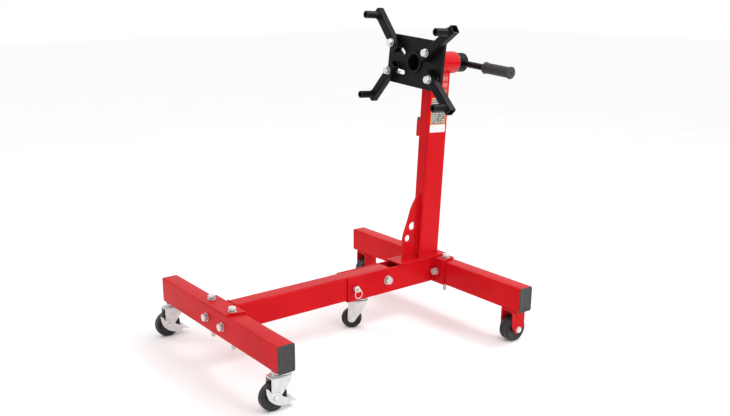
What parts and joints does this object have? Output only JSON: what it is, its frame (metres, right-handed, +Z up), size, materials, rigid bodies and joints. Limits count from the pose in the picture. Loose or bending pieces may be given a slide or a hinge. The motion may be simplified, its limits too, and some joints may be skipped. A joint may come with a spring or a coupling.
{
  "type": "folding engine stand",
  "caption": "Rolling T-shaped floor stand with a fold-up front leg, a leaning post and a turning slotted head whose adjustable arms bolt to an engine.",
  "frame": {"origin": "on the floor under the middle of the stand, at rest with the front leg down", "axes": "+Z up; -Y towards the front crossbar, the way the mounting plate faces; +X towards the side with the lock pin and the handle"},
  "size_m": [0.792, 0.9384, 0.9468],
  "materials": {
    "red_paint": "gloss red paint over steel",
    "black_paint": "satin black paint over steel",
    "black_plastic": "moulded black end caps",
    "wheel": "moulded black wheels with a worn sheen on the tread",
    "grip": "ribbed black grip",
    "zinc": "bright zinc plate"
  },
  "bodies": {
    "frame": {"rear_crossbar": "red_paint", "rear_saddle": "red_paint", "rear_cap_left": "black_plastic", "rear_cap_right": "black_plastic", "rear_upright_bolt_left": "zinc", "rear_upright_bolt_right": "zinc", "rear_level_bolt_left": "zinc", "rear_level_bolt_right": "zinc", "sleeve_channel": "red_paint", "top_plate": "red_paint", "pivot_bolt": "zinc", "post": "red_paint", "gusset": "red_paint", "head_housing": "red_paint", "side_holder": "red_paint", "side_holder_plug": "black_plastic", "mid_caster_mount": "zinc", "rear_bracket_left": "red_paint", "rear_bracket_right": "red_paint", "rear_axle_left": "zinc", "rear_axle_right": "zinc"},
    "front_leg": {"front_crossbar": "red_paint", "front_saddle": "red_paint", "front_cap_left": "black_plastic", "front_cap_right": "black_plastic", "front_upright_bolt_left": "zinc", "front_upright_bolt_right": "zinc", "front_level_bolt_left": "zinc", "front_level_bolt_right": "zinc", "front_beam": "red_paint", "front_caster_left_mount": "zinc", "front_caster_right_mount": "zinc"},
    "front_caster_left": {"front_caster_left_fork": "zinc", "front_caster_left_axle": "zinc"},
    "front_wheel_left": {"front_caster_left_wheel": "wheel"},
    "front_brake_left": {"front_caster_left_brake": "zinc"},
    "front_caster_right": {"front_caster_right_fork": "zinc", "front_caster_right_axle": "zinc"},
    "front_wheel_right": {"front_caster_right_wheel": "wheel"},
    "front_brake_right": {"front_caster_right_brake": "zinc"},
    "mid_caster": {"mid_caster_fork": "zinc", "mid_caster_axle": "zinc"},
    "mid_wheel": {"mid_caster_wheel": "wheel"},
    "rear_wheel_left": {"rear_wheel_left": "wheel"},
    "rear_wheel_right": {"rear_wheel_right": "wheel"},
    "lock_pin": {"lock_pin": "zinc", "lock_pin_ring": "zinc"},
    "head": {"head_spindle": "black_paint", "mounting_plate": "black_paint"},
    "handle": {"handle_bar": "black_paint", "handle_grip": "grip"},
    "arm_bolt_upper_left": {"arm_bolt_upper_left": "zinc"},
    "arm_upper_left": {"arm_upper_left": "black_paint"},
    "arm_bolt_upper_right": {"arm_bolt_upper_right": "zinc"},
    "arm_upper_right": {"arm_upper_right": "black_paint"},
    "arm_bolt_lower_left": {"arm_bolt_lower_left": "zinc"},
    "arm_lower_left": {"arm_lower_left": "black_paint"},
    "arm_bolt_lower_right": {"arm_bolt_lower_right": "zinc"},
    "arm_lower_right": {"arm_lower_right": "black_paint"}
  },
  "joints": [
    {"name": "leg_fold", "type": "hinge", "parent": "frame", "child": "front_leg", "pos_m": [0, 0.15526, 0.1425], "axis": [-1, 0, 0], "range_deg": [0, 90]},
    {"name": "lock_pin_slide", "type": "slide", "parent": "frame", "child": "lock_pin", "axis": [1, 0, 0], "range_m": [-0.0095, 0.01]},
    {"name": "front_swivel_left", "type": "hinge", "parent": "front_leg", "child": "front_caster_left", "pos_m": [-0.295, -0.40374, 0.05], "axis": [0, 0, 1], "continuous": true},
    {"name": "front_spin_left", "type": "hinge", "parent": "front_caster_left", "child": "front_wheel_left", "pos_m": [-0.295, -0.43174, 0.0375], "axis": [1, 0, 0], "continuous": true},
    {"name": "front_brake_left_lift", "type": "hinge", "parent": "front_caster_left", "child": "front_brake_left", "pos_m": [-0.295, -0.43174, 0.0375], "axis": [1, 0, 0], "range_deg": [0, 18]},
    {"name": "front_swivel_right", "type": "hinge", "parent": "front_leg", "child": "front_caster_right", "pos_m": [0.295, -0.40374, 0.05], "axis": [0, 0, 1], "continuous": true},
    {"name": "front_spin_right", "type": "hinge", "parent": "front_caster_right", "child": "front_wheel_right", "pos_m": [0.295, -0.43174, 0.0375], "axis": [1, 0, 0], "continuous": true},
    {"name": "front_brake_right_lift", "type": "hinge", "parent": "front_caster_right", "child": "front_brake_right", "pos_m": [0.295, -0.43174, 0.0375], "axis": [1, 0, 0], "range_deg": [0, 18]},
    {"name": "mid_swivel", "type": "hinge", "parent": "frame", "child": "mid_caster", "pos_m": [0, 0.06926, 0.05], "axis": [0, 0, 1], "continuous": true},
    {"name": "mid_spin", "type": "hinge", "parent": "mid_caster", "child": "mid_wheel", "pos_m": [-0.01444, 0.05009, 0.031], "axis": [0.7986, -0.6018, 0], "continuous": true},
    {"name": "rear_spin_left", "type": "hinge", "parent": "frame", "child": "rear_wheel_left", "pos_m": [-0.349, 0.37226, 0.038], "axis": [1, 0, 0], "continuous": true},
    {"name": "rear_spin_right", "type": "hinge", "parent": "frame", "child": "rear_wheel_right", "pos_m": [0.349, 0.37226, 0.038], "axis": [1, 0, 0], "continuous": true},
    {"name": "head_turn", "type": "hinge", "parent": "frame", "child": "head", "pos_m": [0, 0.36387, 0.788], "axis": [0, -0.9986, 0.0523], "continuous": true},
    {"name": "handle_slide", "type": "slide", "parent": "head", "child": "handle", "axis": [0.9976, -0.0037, -0.0697], "range_m": [-0.06, 0.015]},
    {"name": "arm_slide_upper_left", "type": "slide", "parent": "head", "child": "arm_bolt_upper_left", "axis": [-0.7518, 0.0345, 0.6584], "range_m": [-0.03, 0.016]},
    {"name": "arm_swing_upper_left", "type": "hinge", "parent": "arm_bolt_upper_left", "child": "arm_upper_left", "pos_m": [-0.08251, 0.26178, 0.84631], "axis": [0, -0.9986, 0.0523], "range_deg": [-40, 40]},
    {"name": "arm_slide_upper_right", "type": "slide", "parent": "head", "child": "arm_bolt_upper_right", "axis": [0.8363, 0.0287, 0.5475], "range_m": [-0.0125, 0.034]},
    {"name": "arm_swing_upper_right", "type": "hinge", "parent": "arm_bolt_upper_right", "child": "arm_upper_right", "pos_m": [0.07437, 0.26066, 0.82484], "axis": [0, -0.9986, 0.0523], "range_deg": [-40, 40]},
    {"name": "arm_slide_lower_left", "type": "slide", "parent": "head", "child": "arm_bolt_lower_left", "axis": [-0.9976, 0.0037, 0.0697], "range_m": [-0.03, 0.016]},
    {"name": "arm_swing_lower_left", "type": "hinge", "parent": "arm_bolt_lower_left", "child": "arm_lower_left", "pos_m": [-0.09103, 0.25743, 0.76331], "axis": [0, -0.9986, 0.0523], "range_deg": [-40, 40]},
    {"name": "arm_slide_lower_right", "type": "slide", "parent": "head", "child": "arm_bolt_lower_right", "axis": [0.9976, -0.0037, -0.0697], "range_m": [-0.037, 0.009]},
    {"name": "arm_swing_lower_right", "type": "hinge", "parent": "arm_bolt_lower_right", "child": "arm_lower_right", "pos_m": [0.09282, 0.25676, 0.75048], "axis": [0, -0.9986, 0.0523], "range_deg": [-40, 40]}
  ]
}
